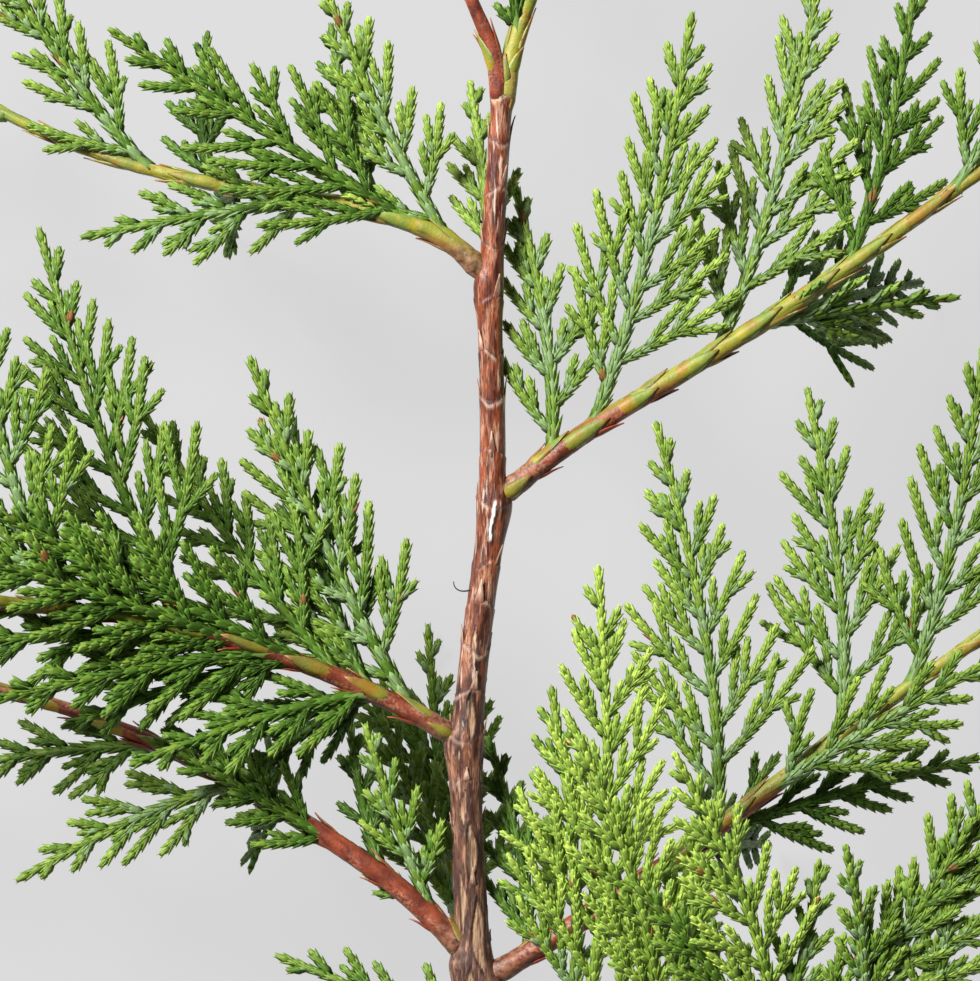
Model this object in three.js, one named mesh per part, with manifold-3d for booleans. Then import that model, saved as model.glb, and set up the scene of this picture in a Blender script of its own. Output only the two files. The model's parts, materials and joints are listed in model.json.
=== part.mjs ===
// A cut leading shoot of leyland cypress, lying on its side: a forked stem, its side boughs,
// and the flat ferny sprays that the boughs carry.
// Sizes are in millimetres and degrees. +Z is up. The stem lies along +Y, cut end towards -Y.

import * as THREE from "three";
import { mergeVertices } from "three/addons/utils/BufferGeometryUtils.js";
import Module from "manifold-3d";

const wasm = await Module();
wasm.setup();

// Driving dimensions

const SEAT_GAP = 0.3; // clear space between a limb or a stalk and what carries it
const KEEP_CLEAR = 0.4; // a twig that comes nearer than this to another piece is left off
const FINENESS = 0.06; // details smaller than this are smoothed away

// A heading is measured in the lying plane, from +X towards +Y. A tilt is the rise out of it.
const STEM = {
  length: 153,
  headings: [95, 95, 93, 90, 84, 82, 89, 92, 88, 86, 86],
  tilts: [0],
  radii: [2.7, 1.55],
  sides: 10,
  steps: 20,
  collar: 0.14, // how much it swells where a bough leaves it
  collarReach: 3.2,
};

const BOUGH = {
  sides: 7,
  steps: 11,
  collar: 0.3, // how much its foot swells
  collarReach: 2.5,
};

const SPRAY = {
  stalkRadii: [1.15, 0.75],
  stalkSteps: 5,
  twinFoot: { length: 4.2, radii: [1.6, 1.4] }, // the short foot that a spray's two fans share
  flatness: 0.62, // thickness of a twig against its width
  startShare: 0.7, // how far its first direction has turned from the bough's to its own
  pitch: 6.1, // from one branchlet to the next, on alternate sides
  bareFoot: 0.13, // share of the stalk below the first branchlet
  bareTip: 0.07,
  spread: 0.37, // longest branchlet against the stalk's length
  shortest: 3.2,
  branchAngles: [44, 27], // from the stalk, at its foot and at its tip
  angleJitter: 5,
  lengthJitter: 0.14,
  branchRadii: [0.72, 0.6],
  twigRadii: [0.5, 0.56],
  twigsFrom: 8.8, // a branchlet this long carries a twig, and one half as long again carries two
  twigPlaces: [0.42, 0.66],
  twigShare: 0.74, // twig length against what is left of its branchlet
  twigAngle: 34,
};

// One flat fan of a spray: its length, where it points, and its roll.
const fan = (length, heading, tilt, turn = 0) => ({ length, heading, tilt, turn });

// One spray: how far along its bough it leaves, its fan, and a twin fan where two leave together.
const spray = (at, length, heading, tilt, turn = 0, twin = null) => ({
  at,
  fans: [fan(length, heading, tilt, turn), twin].filter(Boolean),
});

// A bough leaves the stem at its height along the stem, and END puts a spray on its own tip.
const END = Infinity;
const BOUGHS = [
  {
    name: "upper_right",
    height: 87.5,
    length: 122,
    headings: [42, 30, 31, 35, 36, 40],
    tilts: [0, 2, 2, 0, 0, 4],
    radii: [1.7, 0.75],
    sprays: [
      spray(11.6, 42, 104, -8),
      spray(18.8, 64, 81, 7),
      spray(41, 60, 79, -6, -10),
      spray(64, 50, 80, -18, 15),
      spray(84, 46, 66, 8),
      spray(48, 55.7, 13, -60, 0, fan(32, 6, -12, 35)),
      spray(END, 36, 44, 5),
    ],
  },
  {
    name: "upper_left",
    height: 120.5,
    length: 112,
    headings: [122, 158, 171, 171, 165, 157, 152, 150, 150],
    tilts: [0, -2, -5, -8, -8, -6],
    radii: [1.7, 0.7],
    sprays: [
      spray(9, 44, 113, 6),
      spray(20, 34, 99, -24),
      spray(14, 55, 147, 13),
      spray(30, 36, 191, 2),
      spray(56, 44, 121, 10),
      spray(46, 27, 86, -26),
      spray(41, 43.5, 258, -84),
      spray(END, 36, 150, 0),
    ],
  },
  {
    name: "middle_left",
    height: 51.5,
    length: 98,
    headings: [147, 156, 162, 172, 172, 168],
    tilts: [4, 14, 24, 24, 18, 10],
    radii: [1.6, 0.7],
    sprays: [
      spray(9, 59, 111, 2),
      spray(21, 52, 124, -4),
      spray(46, 64, 106, -6),
      spray(66, 54, 98, 6),
      spray(16, 32, 222, -18, 0, fan(40, 200, 25, 20)),
      spray(33, 44, 192, 26),
      spray(END, 40, 166, 8),
      spray(25, 58, 152, 25),
      spray(38, 50, 160, 31),
    ],
  },
  {
    name: "lower_left",
    height: 18.5,
    length: 106,
    headings: [128, 145, 150, 158, 165, 170],
    tilts: [2, 2, 3, 3, 1, 0],
    radii: [1.8, 0.7],
    sprays: [
      spray(8.5, 32, 107, 6, 35),
      spray(19, 24, 99, -16),
      spray(26, 30, 137, 20, 40),
      spray(45, 36, 209, 4),
      spray(58, 32, 190, -12),
      spray(36, 46.3, 240, -85),
      spray(END, 36, 176, 0),
    ],
  },
  {
    name: "lower_right",
    height: 15.5,
    length: 118,
    headings: [30, 33, 37, 36, 33, 31],
    tilts: [0, 0, 0, -2, -2, 0],
    radii: [1.75, 0.7],
    sprays: [
      spray(9, 34, 108, -15),
      spray(43, 62, 105, 3),
      spray(66, 53, 101, -5),
      spray(79, 54, 83, 6),
      spray(41, 46, 12, -18),
      spray(35, 48, -20, -72),
      spray(END, 36, 38, 0),
      spray(52, 46, 31, 16, 10),
    ],
  },
  {
    name: "front_right",
    height: 10.5,
    length: 92,
    headings: [10, 2, 0, 2, 5],
    tilts: [50, 44, 24, 8, 4],
    radii: [1.6, 0.7],
    sprays: [
      spray(20, 64, 92, 8),
      spray(36, 50, 112, 16, 0, fan(44, 84, 24)),
      spray(54, 34, 84, 14, 0, fan(40, 116, 14)),
      spray(66, 50, 72, 16, 0, fan(38, 104, 20)),
      spray(END, 34, 30, 6),
    ],
  },
  {
    name: "back",
    height: 8,
    length: 53.5,
    headings: [112, 104, 96],
    tilts: [-80, -62, -14],
    radii: [1.5, 0.75],
    sprays: [spray(END, 32, 94, 2, 0, fan(34, 140, 0))],
  },
];

// The stem's fork: the green leader, and a red-barked shoot beside it.
const FORK_SHOOTS = [
  {
    name: "leader",
    offset: 0.6,
    length: 58,
    headings: [70, 78, 86],
    tilts: [0, 3, 0],
    radii: [1.35, 0.7],
    sprays: [spray(14, 40, 42, -10), spray(END, 38, 88, 0, 0, fan(36, 118, -6))],
  },
  {
    name: "side_shoot",
    offset: -0.6,
    length: 44,
    headings: [120, 117, 112],
    tilts: [8, 8, 5],
    radii: [1.2, 0.65],
    sprays: [spray(END, 34, 110, 0, 0, fan(32, 156, 4))],
  },
];

// Sprays that grow from the stem itself: behind its upper part, and beside its foot.
const STEM_SPRAYS = [spray(124.5, 30, 98, -24), spray(3.5, 36, 160, -12)];

const COLOURS = {
  bark: new THREE.MeshStandardMaterial({ color: 0x8b5540, roughness: 0.85, metalness: 0 }),
  youngBark: new THREE.MeshStandardMaterial({ color: 0x8f8b3c, roughness: 0.6, metalness: 0 }),
  foliage: new THREE.MeshStandardMaterial({ color: 0x4f8434, roughness: 0.55, metalness: 0 }),
};

// Small sums

const UP = new THREE.Vector3(0, 0, 1);
const radians = THREE.MathUtils.degToRad;
const mix = THREE.MathUtils.lerp;

function direction(heading, tilt) {
  const [h, e] = [radians(heading), radians(tilt)];
  return new THREE.Vector3(Math.cos(e) * Math.cos(h), Math.cos(e) * Math.sin(h), Math.sin(e));
}

// The value a share of the way along a list of evenly spaced values.
function along(list, share) {
  const place = share * (list.length - 1);
  const before = Math.min(Math.floor(place), Math.max(list.length - 2, 0));
  return mix(list[before], list[Math.min(before + 1, list.length - 1)], place - before);
}

// A number from -1 to 1 that is always the same for the same seed and index.
function jitter(seed, index) {
  const wave = Math.sin(seed * 12.9898 + index * 78.233) * 43758.5453;
  return (wave - Math.floor(wave)) * 2 - 1;
}

// Paths

const PATH_STEPS = 24;

// A path of a given length from a start, whose direction at each share of it is known.
function pathFrom(start, length, directionAt) {
  const points = [start.clone()];
  for (let i = 0; i < PATH_STEPS; i++) {
    const step = directionAt((i + 0.5) / PATH_STEPS).multiplyScalar(length / PATH_STEPS);
    points.push(points[i].clone().add(step));
  }
  const curve = new THREE.CatmullRomCurve3(points);
  return { length, directionAt, pointAt: (share) => curve.getPointAt(share) };
}

// The path of a limb whose headings and tilts are listed along it.
function limbPath(start, { length, headings, tilts }) {
  return pathFrom(start, length, (share) => direction(along(headings, share), along(tilts, share)));
}

// The path of a spray's stalk: it leaves near the bough's direction and soon turns to its own.
function stalkPath(start, boughDirection, startShare, { length, heading, tilt }) {
  const last = direction(heading, tilt);
  const first = boughDirection.clone().lerp(last, startShare).normalize();
  const angle = first.angleTo(last);
  const axis = first.clone().cross(last).normalize();
  const turned = (share) => first.clone().applyAxisAngle(axis, angle * (1 - (1 - share) ** 2));
  return pathFrom(start, length, turned);
}

// The two directions across a path: its flat side's normal, rolled by a turn, and its edge.
function across(ahead, turn = 0) {
  const normal = UP.clone().addScaledVector(ahead, -UP.dot(ahead)).normalize();
  normal.applyAxisAngle(ahead, radians(turn));
  return { normal, side: normal.clone().cross(ahead) };
}

// Solids

function polygon(sides) {
  const corners = Array.from({ length: sides }, (_, i) => {
    const angle = Math.PI / 2 + (i * 2 * Math.PI) / sides;
    return new THREE.Vector2(Math.cos(angle), Math.sin(angle));
  });
  return new THREE.Shape(corners);
}

// Extrudes a section and lays it along a path, so that it tapers and bends.
function sweep(section, steps, path, radiusAt, { flatness = 1, turn = 0 } = {}) {
  const geometry = new THREE.ExtrudeGeometry(section, { depth: 1, steps, bevelEnabled: false });
  const position = geometry.attributes.position;
  for (let i = 0; i < position.count; i++) {
    const share = THREE.MathUtils.clamp(position.getZ(i), 0, 1);
    const { normal, side } = across(path.directionAt(share), turn);
    const radius = radiusAt(share);
    const point = path
      .pointAt(share)
      .addScaledVector(side, position.getX(i) * radius)
      .addScaledVector(normal, position.getY(i) * radius * flatness);
    position.setXYZ(i, point.x, point.y, point.z);
  }
  return solid(geometry);
}

// A three.js geometry as a closed solid that can be joined and cut.
function solid(geometry) {
  geometry.deleteAttribute("normal");
  geometry.deleteAttribute("uv");
  const merged = mergeVertices(geometry, 1e-4);
  return new wasm.Manifold(
    new wasm.Mesh({
      numProp: 3,
      vertProperties: new Float32Array(merged.attributes.position.array),
      triVerts: new Uint32Array(merged.index.array),
    }),
  );
}

// The largest body of a solid, without the scraps and slivers that a cut or a join leaves.
function largestBody(whole) {
  const bodies = whole.simplify(FINENESS).decompose();
  return bodies.reduce((a, b) => (a.volume() > b.volume() ? a : b));
}

function mesh(name, whole, material) {
  const { numProp, vertProperties, triVerts } = whole.getMesh();
  const geometry = new THREE.BufferGeometry();
  const interleaved = new THREE.InterleavedBuffer(vertProperties, numProp);
  geometry.setAttribute("position", new THREE.InterleavedBufferAttribute(interleaved, 3, 0));
  geometry.setIndex(new THREE.BufferAttribute(triVerts, 1));
  const made = new THREE.Mesh(geometry, material);
  made.name = name;
  return made;
}

// What has its place already, by the name of its piece, so that later twigs stay clear of it.

const plant = new THREE.Group();
const placed = [];

function place(name, whole) {
  placed.push({ name, whole, box: whole.boundingBox() });
}

function isClear(name, whole) {
  const near = KEEP_CLEAR * 2;
  const a = whole.boundingBox();
  return placed.every(({ name: otherName, whole: other, box: b }) => {
    if (otherName === name) return true;
    const apart = [0, 1, 2].some((k) => a.min[k] > b.max[k] + near || b.min[k] > a.max[k] + near);
    return apart || whole.minGap(other, near) >= KEEP_CLEAR;
  });
}

// A tapering limb's radius, swollen at its foot and where the listed places along it are.
function limbRadius({ radii, length }, { collar, collarReach }, places) {
  return (share) => {
    const swell = places.map((at) => Math.exp(-(((share * length - at) / collarReach) ** 2)));
    return mix(radii[0], radii[1], share) * (1 + collar * Math.max(...swell));
  };
}

// A short, straight, three-sided twig, from inside what carries it to its tip.
function twig(start, ahead, normal, length, radii) {
  const geometry = new THREE.ExtrudeGeometry(polygon(3), { depth: 1, steps: 1, bevelEnabled: false });
  const position = geometry.attributes.position;
  const side = normal.clone().cross(ahead);
  for (let i = 0; i < position.count; i++) {
    const share = position.getZ(i);
    const radius = mix(radii[0], radii[1], share);
    const point = start
      .clone()
      .addScaledVector(ahead, length * share)
      .addScaledVector(side, position.getX(i) * radius)
      .addScaledVector(normal, position.getY(i) * radius * SPRAY.flatness);
    position.setXYZ(i, point.x, point.y, point.z);
  }
  return solid(geometry);
}

// The branchlets of a spray, on alternate sides of its stalk, with a twig or two on the longer ones.
function branchlets(path, turn, seed) {
  const made = [];
  const count = Math.floor((path.length * (1 - SPRAY.bareFoot - SPRAY.bareTip)) / SPRAY.pitch);
  for (let i = 0; i <= count; i++) {
    const share = SPRAY.bareFoot + (i * SPRAY.pitch) / path.length;
    const ahead = path.directionAt(share);
    const { normal } = across(ahead, turn);
    const hand = i % 2 ? 1 : -1;
    const fullness = Math.min(1, 0.62 + 1.9 * share) * (1 - share) ** 0.8;
    const jittered = 1 + SPRAY.lengthJitter * jitter(seed, i);
    const length = Math.max(SPRAY.shortest, path.length * SPRAY.spread * fullness * jittered);
    const angle = along(SPRAY.branchAngles, share) + SPRAY.angleJitter * jitter(seed, i + 50);
    const start = path.pointAt(share);
    const out = ahead.clone().applyAxisAngle(normal, -hand * radians(angle));
    made.push(twig(start, out, normal, length, SPRAY.branchRadii));
    const twigCount = length < SPRAY.twigsFrom ? 0 : length < SPRAY.twigsFrom * 1.5 ? 1 : 2;
    SPRAY.twigPlaces.slice(0, twigCount).forEach((place, k) => {
      const twigHand = k % 2 ? -hand : hand;
      const twigOut = out.clone().applyAxisAngle(normal, twigHand * radians(SPRAY.twigAngle));
      const twigStart = start.clone().addScaledVector(out, length * place);
      const twigLength = length * (1 - place) * SPRAY.twigShare;
      made.push(twig(twigStart, twigOut, normal, twigLength, SPRAY.twigRadii));
    });
  }
  return made;
}

// A spray's bent stalk, or the two of a twin, seated on its bough or standing on the bough's tip.
function seatStalk(name, size, carrier) {
  const onTip = size.at === END;
  const share = onTip ? 1 : size.at / carrier.path.length;
  const boughDirection = carrier.path.directionAt(share);
  const start = carrier.path.pointAt(share);
  if (onTip) start.addScaledVector(boughDirection, SEAT_GAP);
  const radiusAt = (s) => mix(SPRAY.stalkRadii[0], SPRAY.stalkRadii[1], s);
  const fans = size.fans.map((one) => ({
    path: stalkPath(start, boughDirection, onTip ? 0 : SPRAY.startShare, one),
    turn: one.turn,
  }));
  const stalks = fans.map(({ path, turn }) =>
    sweep(polygon(3), SPRAY.stalkSteps, path, radiusAt, { flatness: SPRAY.flatness, turn }),
  );
  if (fans.length > 1) {
    const between = new THREE.Vector3();
    fans.forEach(({ path }) => between.add(path.directionAt(0)));
    between.normalize();
    stalks.push(twig(start, between, across(between).normal, SPRAY.twinFoot.length, SPRAY.twinFoot.radii));
  }
  const stalk = stalks.reduce((sum, one) => sum.add(one));
  const whole = onTip ? stalk : largestBody(stalk.subtract(carrier.grown));
  place(name, whole);
  return { name, fans, whole };
}

// A whole spray: its stalk, and the branchlets that have room round it.
function fillSpray(stalk, seed) {
  const grown = stalk.fans.flatMap(({ path, turn }, k) => branchlets(path, turn, seed + 100 * k));
  const kept = grown.filter((one) => isClear(stalk.name, one));
  kept.forEach((one) => place(stalk.name, one));
  const whole = largestBody(kept.reduce((sum, one) => sum.add(one), stalk.whole));
  plant.add(mesh(stalk.name, whole, COLOURS.foliage));
}

// A limb, and the room that what it carries leaves round its sides and its two ends.
function limb(path, sizes, kind, places) {
  const radiusAt = limbRadius(sizes, kind, places);
  const section = polygon(kind.sides);
  const past = (share) => (share === 0 ? -SEAT_GAP : share === 1 ? SEAT_GAP : 0);
  const longer = {
    directionAt: path.directionAt,
    pointAt: (share) => path.pointAt(share).addScaledVector(path.directionAt(share), past(share)),
  };
  return {
    path,
    whole: sweep(section, kind.steps, path, radiusAt),
    grown: sweep(section, kind.steps, longer, (share) => radiusAt(share) + SEAT_GAP),
  };
}

function addLimb(name, made, material) {
  place(name, made.whole);
  plant.add(mesh(name, made.whole, material));
}

// Stem

const stemPath = limbPath(new THREE.Vector3(), STEM);
const stemPlaces = [...BOUGHS.map((bough) => bough.height), STEM.length];
const stem = limb(stemPath, STEM, STEM, stemPlaces);
addLimb("stem", stem, COLOURS.bark);

// Boughs, seated on the stem

const limbs = BOUGHS.map((bough) => {
  const path = limbPath(stemPath.pointAt(bough.height / STEM.length), bough);
  const made = limb(path, bough, BOUGH, [0]);
  made.whole = largestBody(made.whole.subtract(stem.grown));
  addLimb(`bough_${bough.name}`, made, COLOURS.youngBark);
  return made;
});

// The leader and the shoot beside it, seated side by side on the stem's fork

const forkShoots = FORK_SHOOTS.map((shoot) => {
  const start = stemPath.pointAt(1);
  start.x += shoot.offset;
  const made = limb(limbPath(start, shoot), shoot, BOUGH, [0]);
  made.whole = largestBody(made.whole.subtract(stem.grown));
  return made;
});
forkShoots[1].whole = largestBody(forkShoots[1].whole.subtract(forkShoots[0].grown));
forkShoots.forEach((shoot, i) => addLimb(FORK_SHOOTS[i].name, shoot, COLOURS.youngBark));

// Sprays: every stalk first, and then the branchlets of one spray after another

const carriers = [
  ...BOUGHS.map((bough, i) => ({ ...bough, ...limbs[i] })),
  ...FORK_SHOOTS.map((shoot, i) => ({ ...shoot, ...forkShoots[i] })),
  { name: "stem", sprays: STEM_SPRAYS, ...stem },
];
const stalks = carriers.flatMap((carrier) =>
  carrier.sprays.map((size, i) => seatStalk(`spray_${carrier.name}_${i + 1}`, size, carrier)),
);
stalks.forEach(fillSpray);

// The origin is on the floor, under the middle of the plant.

const box = new THREE.Box3().setFromObject(plant, true);
const middle = box.getCenter(new THREE.Vector3());
plant.position.set(-middle.x, -middle.y, -box.min.z);

export default plant;
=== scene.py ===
import json

import bpy
import numpy as np
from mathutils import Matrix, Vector

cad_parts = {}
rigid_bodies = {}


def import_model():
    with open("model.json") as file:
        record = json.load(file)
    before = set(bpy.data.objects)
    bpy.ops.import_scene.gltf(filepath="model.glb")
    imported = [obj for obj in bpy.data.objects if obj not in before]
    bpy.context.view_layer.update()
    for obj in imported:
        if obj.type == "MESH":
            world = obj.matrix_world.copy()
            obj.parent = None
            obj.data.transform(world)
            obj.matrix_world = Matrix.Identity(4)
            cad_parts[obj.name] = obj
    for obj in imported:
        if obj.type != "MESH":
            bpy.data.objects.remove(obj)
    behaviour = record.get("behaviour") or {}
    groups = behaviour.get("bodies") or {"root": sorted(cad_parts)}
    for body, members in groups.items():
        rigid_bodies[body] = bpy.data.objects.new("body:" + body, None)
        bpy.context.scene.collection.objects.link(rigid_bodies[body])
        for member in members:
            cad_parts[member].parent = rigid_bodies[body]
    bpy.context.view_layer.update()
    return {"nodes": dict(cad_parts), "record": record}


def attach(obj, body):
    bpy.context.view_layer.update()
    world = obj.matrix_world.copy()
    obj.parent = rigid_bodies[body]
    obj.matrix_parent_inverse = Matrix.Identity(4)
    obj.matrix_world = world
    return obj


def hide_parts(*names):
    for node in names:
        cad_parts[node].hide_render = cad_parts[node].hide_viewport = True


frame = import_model()

# Stem: the tree's leading shoot, a tapering rod of red-brown bark that splits lengthwise into fibres and
# peels in papery strips. It was cut square across at its foot, and it forks at its top.

# Lengths are in millimetres from the middle of the cut, along +Y up the stem and +Z towards the camera.
cut_point = np.array(frame["record"]["mounts"][0]["pos_m"]) * 1000.0

STEM = dict(
    length=153.0,
    headings=[95, 95, 93, 90, 84, 82, 89, 92, 88, 86, 86],
    tilts=[0],
    radii=(2.7, 1.55),
)
# Where the boughs leave: height, and share of a turn round the stem, a half being towards the camera.
FORKS_ON_STEM = [
    (87.5, 0.75), (120.5, 0.25), (51.5, 0.25), (18.5, 0.25), (15.5, 0.75), (10.5, 0.6), (8.0, 0.0),
]
# The pairs of old leaves: the height of their ledge, and the share of a turn at which one of them stands.
OLD_LEAVES = [
    (6.0, 0.27), (13.0, 0.52), (21.5, 0.28), (30.3, 0.55), (39.3, 0.26), (46.0, 0.53), (52.8, 0.24),
    (59.5, 0.55), (66.0, 0.29), (72.5, 0.5), (78.5, 0.62), (88.0, 0.3), (95.5, 0.47), (103.5, 0.26),
    (110.5, 0.36), (118.5, 0.6), (126.5, 0.28), (134.8, 0.61), (142.2, 0.27), (149.0, 0.66),
]


def unit(vectors):
    return vectors / np.linalg.norm(vectors, axis=-1, keepdims=True)


def jitter(seed, index):
    wave = np.sin(seed * 12.9898 + np.asarray(index) * 78.233) * 43758.5453
    return (wave - np.floor(wave)) * 2 - 1


def direction(heading, tilt):
    h, e = np.radians(heading), np.radians(tilt)
    return np.stack([np.cos(e) * np.cos(h), np.cos(e) * np.sin(h), np.sin(e) + 0 * h], -1)


def along(values, share):
    return np.interp(share, np.linspace(0, 1, len(values)), values)


def turned(vectors, axis, angle):
    # Vectors turned about a unit axis by an angle in radians.
    c, s = np.cos(angle), np.sin(angle)
    dot = np.sum(vectors * axis, -1, keepdims=True)
    return vectors * c + np.cross(axis, vectors) * s + axis * dot * (1 - c)


def across(ahead, turn=0.0):
    up = np.array([0.0, 0.0, 1.0])
    normal = unit(up - ahead * ahead[..., 2:3])
    normal = turned(normal, ahead, np.radians(turn))
    return normal, np.cross(normal, ahead)


class Line:
    # A limb's middle line, with the directions along and across it at even stations.
    def __init__(self, start, length, look, step, turn=0.0):
        self.length = length
        count = max(int(round(length / step)), 4)
        self.share = np.linspace(0, 1, count + 1)
        middle = (self.share[1:] + self.share[:-1]) / 2
        steps = np.cumsum(look(middle) * (length / count), axis=0)
        self.point = start + np.vstack([np.zeros((1, 3)), steps])
        self.ahead = look(self.share)
        self.normal, self.side = across(self.ahead, turn)

    def at(self, distance):
        share = np.clip(np.asarray(distance) / self.length, 0, 1)
        rows = [self.point, self.ahead, self.normal, self.side]
        return [np.stack([np.interp(share, self.share, r[:, k]) for k in range(3)], -1) for r in rows]


def limb_line(start, size, step):
    def look(share):
        return direction(along(size["headings"], share), along(size["tilts"], share))

    return Line(start, size["length"], look, step)


def grain(u, v, period, seed):
    # Smooth lengthwise grain that closes round the limb: u counts cells round it, v cells along it.
    iu, iv = np.floor(u), np.floor(v)
    fu, fv = u - iu, v - iv
    fu, fv = fu * fu * (3 - 2 * fu), fv * fv * (3 - 2 * fv)

    def cell(a, b):
        return jitter(seed, np.mod(a, period) * 7.13 + b * 3.37)

    low = cell(iu, iv) * (1 - fu) + cell(iu + 1, iv) * fu
    high = cell(iu, iv + 1) * (1 - fu) + cell(iu + 1, iv + 1) * fu
    return low * (1 - fv) + high * fv


def ramp(low, high, value):
    t = np.clip((value - low) / (high - low), 0, 1)
    return t * t * (3 - 2 * t)


def round_shape(line, radius):
    # Points, four-sided faces and end faces of a closed tube with its own radius at every point.
    rows, sides = radius.shape
    angle = -np.pi / 2 + 2 * np.pi * np.arange(sides) / sides
    out = np.cos(angle)[None, :, None] * line.side[:, None]
    out = out + np.sin(angle)[None, :, None] * line.normal[:, None]
    ring = line.point[:, None] + radius[..., None] * out
    points = np.concatenate([ring.reshape(-1, 3), line.point[:1], line.point[-1:]])
    i, k = np.arange(rows - 1)[:, None] * sides, np.arange(sides)[None]
    k2 = (k + 1) % sides
    quads = np.stack([i + k, i + k2, i + sides + k2, i + sides + k], -1).reshape(-1, 4)
    k, k2, last = k[0], k2[0], (rows - 1) * sides
    first_end = np.stack([np.full(sides, rows * sides), k2, k], -1)
    other_end = np.stack([np.full(sides, rows * sides + 1), last + k, last + k2], -1)
    return points, quads, np.concatenate([first_end, other_end])


def piece(name, points, faces, finish, nodes=(), marks=None):
    # A finished piece: its mesh, its finish, and its place on the part.
    mesh = bpy.data.meshes.new(name)
    mesh.from_pydata((points + cut_point) * 0.001, [], [f for group in faces for f in group.tolist()])
    for mark, values in (marks or {}).items():
        mesh.attributes.new(mark, "FLOAT", "POINT").data.foreach_set("value", values.astype(np.float32))
    mesh.materials.append(finish)
    mesh.shade_smooth()
    made = bpy.data.objects.new(name, mesh)
    bpy.context.scene.collection.objects.link(made)
    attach(made, "root")
    if nodes:
        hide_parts(*nodes)
    return made


def light_of(red, green, blue):
    # A colour as the eye names it, from 0 to 255, as the light that it gives back.
    c = np.array([red, green, blue]) / 255.0
    return (*np.where(c <= 0.04045, c / 12.92, ((c + 0.055) / 1.055) ** 2.4), 1.0)


class Mark:
    # One value or colour on a surface. Sums on marks add the nodes that work them out.
    def __init__(self, socket):
        self.socket = socket

    @staticmethod
    def node(tree, kind, settings, sockets, out=0):
        made = tree.nodes.new(kind)
        for name, value in settings.items():
            setattr(made, name, value)
        for name, value in sockets.items():
            if isinstance(value, Mark):
                tree.links.new(value.socket, made.inputs[name])
            else:
                made.inputs[name].default_value = value
        return Mark(made.outputs[out])

    def sum(self, operation, first, second):
        tree = self.socket.id_data
        return Mark.node(tree, "ShaderNodeMath", {"operation": operation}, {0: first, 1: second})

    def __add__(self, other):
        return self.sum("ADD", self, other)

    __radd__ = __add__

    def __sub__(self, other):
        return self.sum("SUBTRACT", self, other)

    def __rsub__(self, other):
        return self.sum("SUBTRACT", other, self)

    def __mul__(self, other):
        return self.sum("MULTIPLY", self, other)

    __rmul__ = __mul__

    def within(self, low, high):
        # 0 up to the low value, 1 from the high one, and even steps between them.
        sockets = {"Value": self, "From Min": low, "From Max": high}
        return Mark.node(self.socket.id_data, "ShaderNodeMapRange", {}, sockets)

    def blend(self, first, second):
        # The first colour where this mark is 0, the second where it is 1.
        sockets = {0: self, 6: first, 7: second}
        settings = {"data_type": "RGBA", "clamp_factor": True}
        return Mark.node(self.socket.id_data, "ShaderNodeMix", settings, sockets, out=2)


def finish_of(name):
    # A new finish, with its shader, its surface coordinates and a way to read the marks on its mesh.
    finish = bpy.data.materials.new(name)
    finish.use_nodes = True
    tree = finish.node_tree
    shader = tree.nodes["Principled BSDF"]
    place = Mark.node(tree, "ShaderNodeTexCoord", {}, {}, out=3)

    def speckle(size, detail=3.0, stretch=1.0):
        # Blotches of a size in millimetres, drawn out along +Y by the stretch.
        sockets = {"Vector": place, "Scale": (1.0, 1.0 / stretch, 1.0)}
        drawn = Mark.node(tree, "ShaderNodeMapping", {}, sockets)
        sockets = {"Vector": drawn, "Scale": 1000.0 / size, "Detail": detail}
        return Mark.node(tree, "ShaderNodeTexNoise", {}, sockets)

    def read(mark):
        return Mark.node(tree, "ShaderNodeAttribute", {"attribute_name": mark}, {}, out=2)

    return finish, tree, shader, speckle, read


def wire(tree, shader, colour, roughness, height=None, depth=0.0001):
    tree.links.new(colour.socket, shader.inputs["Base Color"])
    if isinstance(roughness, Mark):
        tree.links.new(roughness.socket, shader.inputs["Roughness"])
    else:
        shader.inputs["Roughness"].default_value = roughness
    if height is not None:
        sockets = {"Height": height, "Distance": depth, "Strength": 0.6}
        bump = Mark.node(tree, "ShaderNodeBump", {}, sockets)
        tree.links.new(bump.socket, shader.inputs["Normal"])


STEM_STEP, STEM_SIDES = 0.28, 88
stem_line = limb_line(np.zeros(3), STEM, STEM_STEP)
u = (np.arange(STEM_SIDES) / STEM_SIDES)[None, :]
v = (stem_line.share * STEM["length"])[:, None]
patches = grain(u * 5, v / 7.0, 5, 3)
streaks = grain(u * 30 + 0.4 * patches, v / 6.0, 30, 2)
flecks = grain(u * 48, v / 2.4, 48, 1)
strips = grain(u * 13 + 0.5 * patches, v / 9.0, 13, 4)
old = 1 - ramp(25, 95, v)
swelling = np.exp(-(((v - 150.8) / 3.0) ** 2)) + 0 * u
shoulder = np.zeros_like(patches)
for height, turn in FORKS_ON_STEM:
    facing = np.clip(np.cos(2 * np.pi * (u - turn)), 0, 1) ** 1.4
    rise = np.exp(-(((v - height) / np.where(v > height, 2.6, 5.0)) ** 2))
    swelling = np.maximum(swelling, 0.45 * np.exp(-(((v - height) / 3.2) ** 2)))
    shoulder = np.maximum(shoulder, rise * facing)

# Every ledge of old leaves rises to its two points, and the next one is a quarter turn round.
ragged = 0.3 * grain(u * 9, v / 3.0, 9, 9) + 0.12 * flecks
ledges = [v - height - 0.75 * np.cos(4 * np.pi * (u - turn)) - ragged for height, turn in OLD_LEAVES]
# The dark line just above each ledge is painted shadow under the ledge's lip; the same line also sinks the
# bark a little.
ledge = np.max([np.exp(-(((d - 0.15) / 0.22) ** 2)) for d in ledges], axis=0)
cushion = np.max([np.exp(np.where(d < 0, d / 1.6, -((d / 0.16) ** 2))) for d in ledges], axis=0)
ledge, cushion = ledge * (1 - 0.6 * old), cushion * (1 - 0.6 * old)

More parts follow.
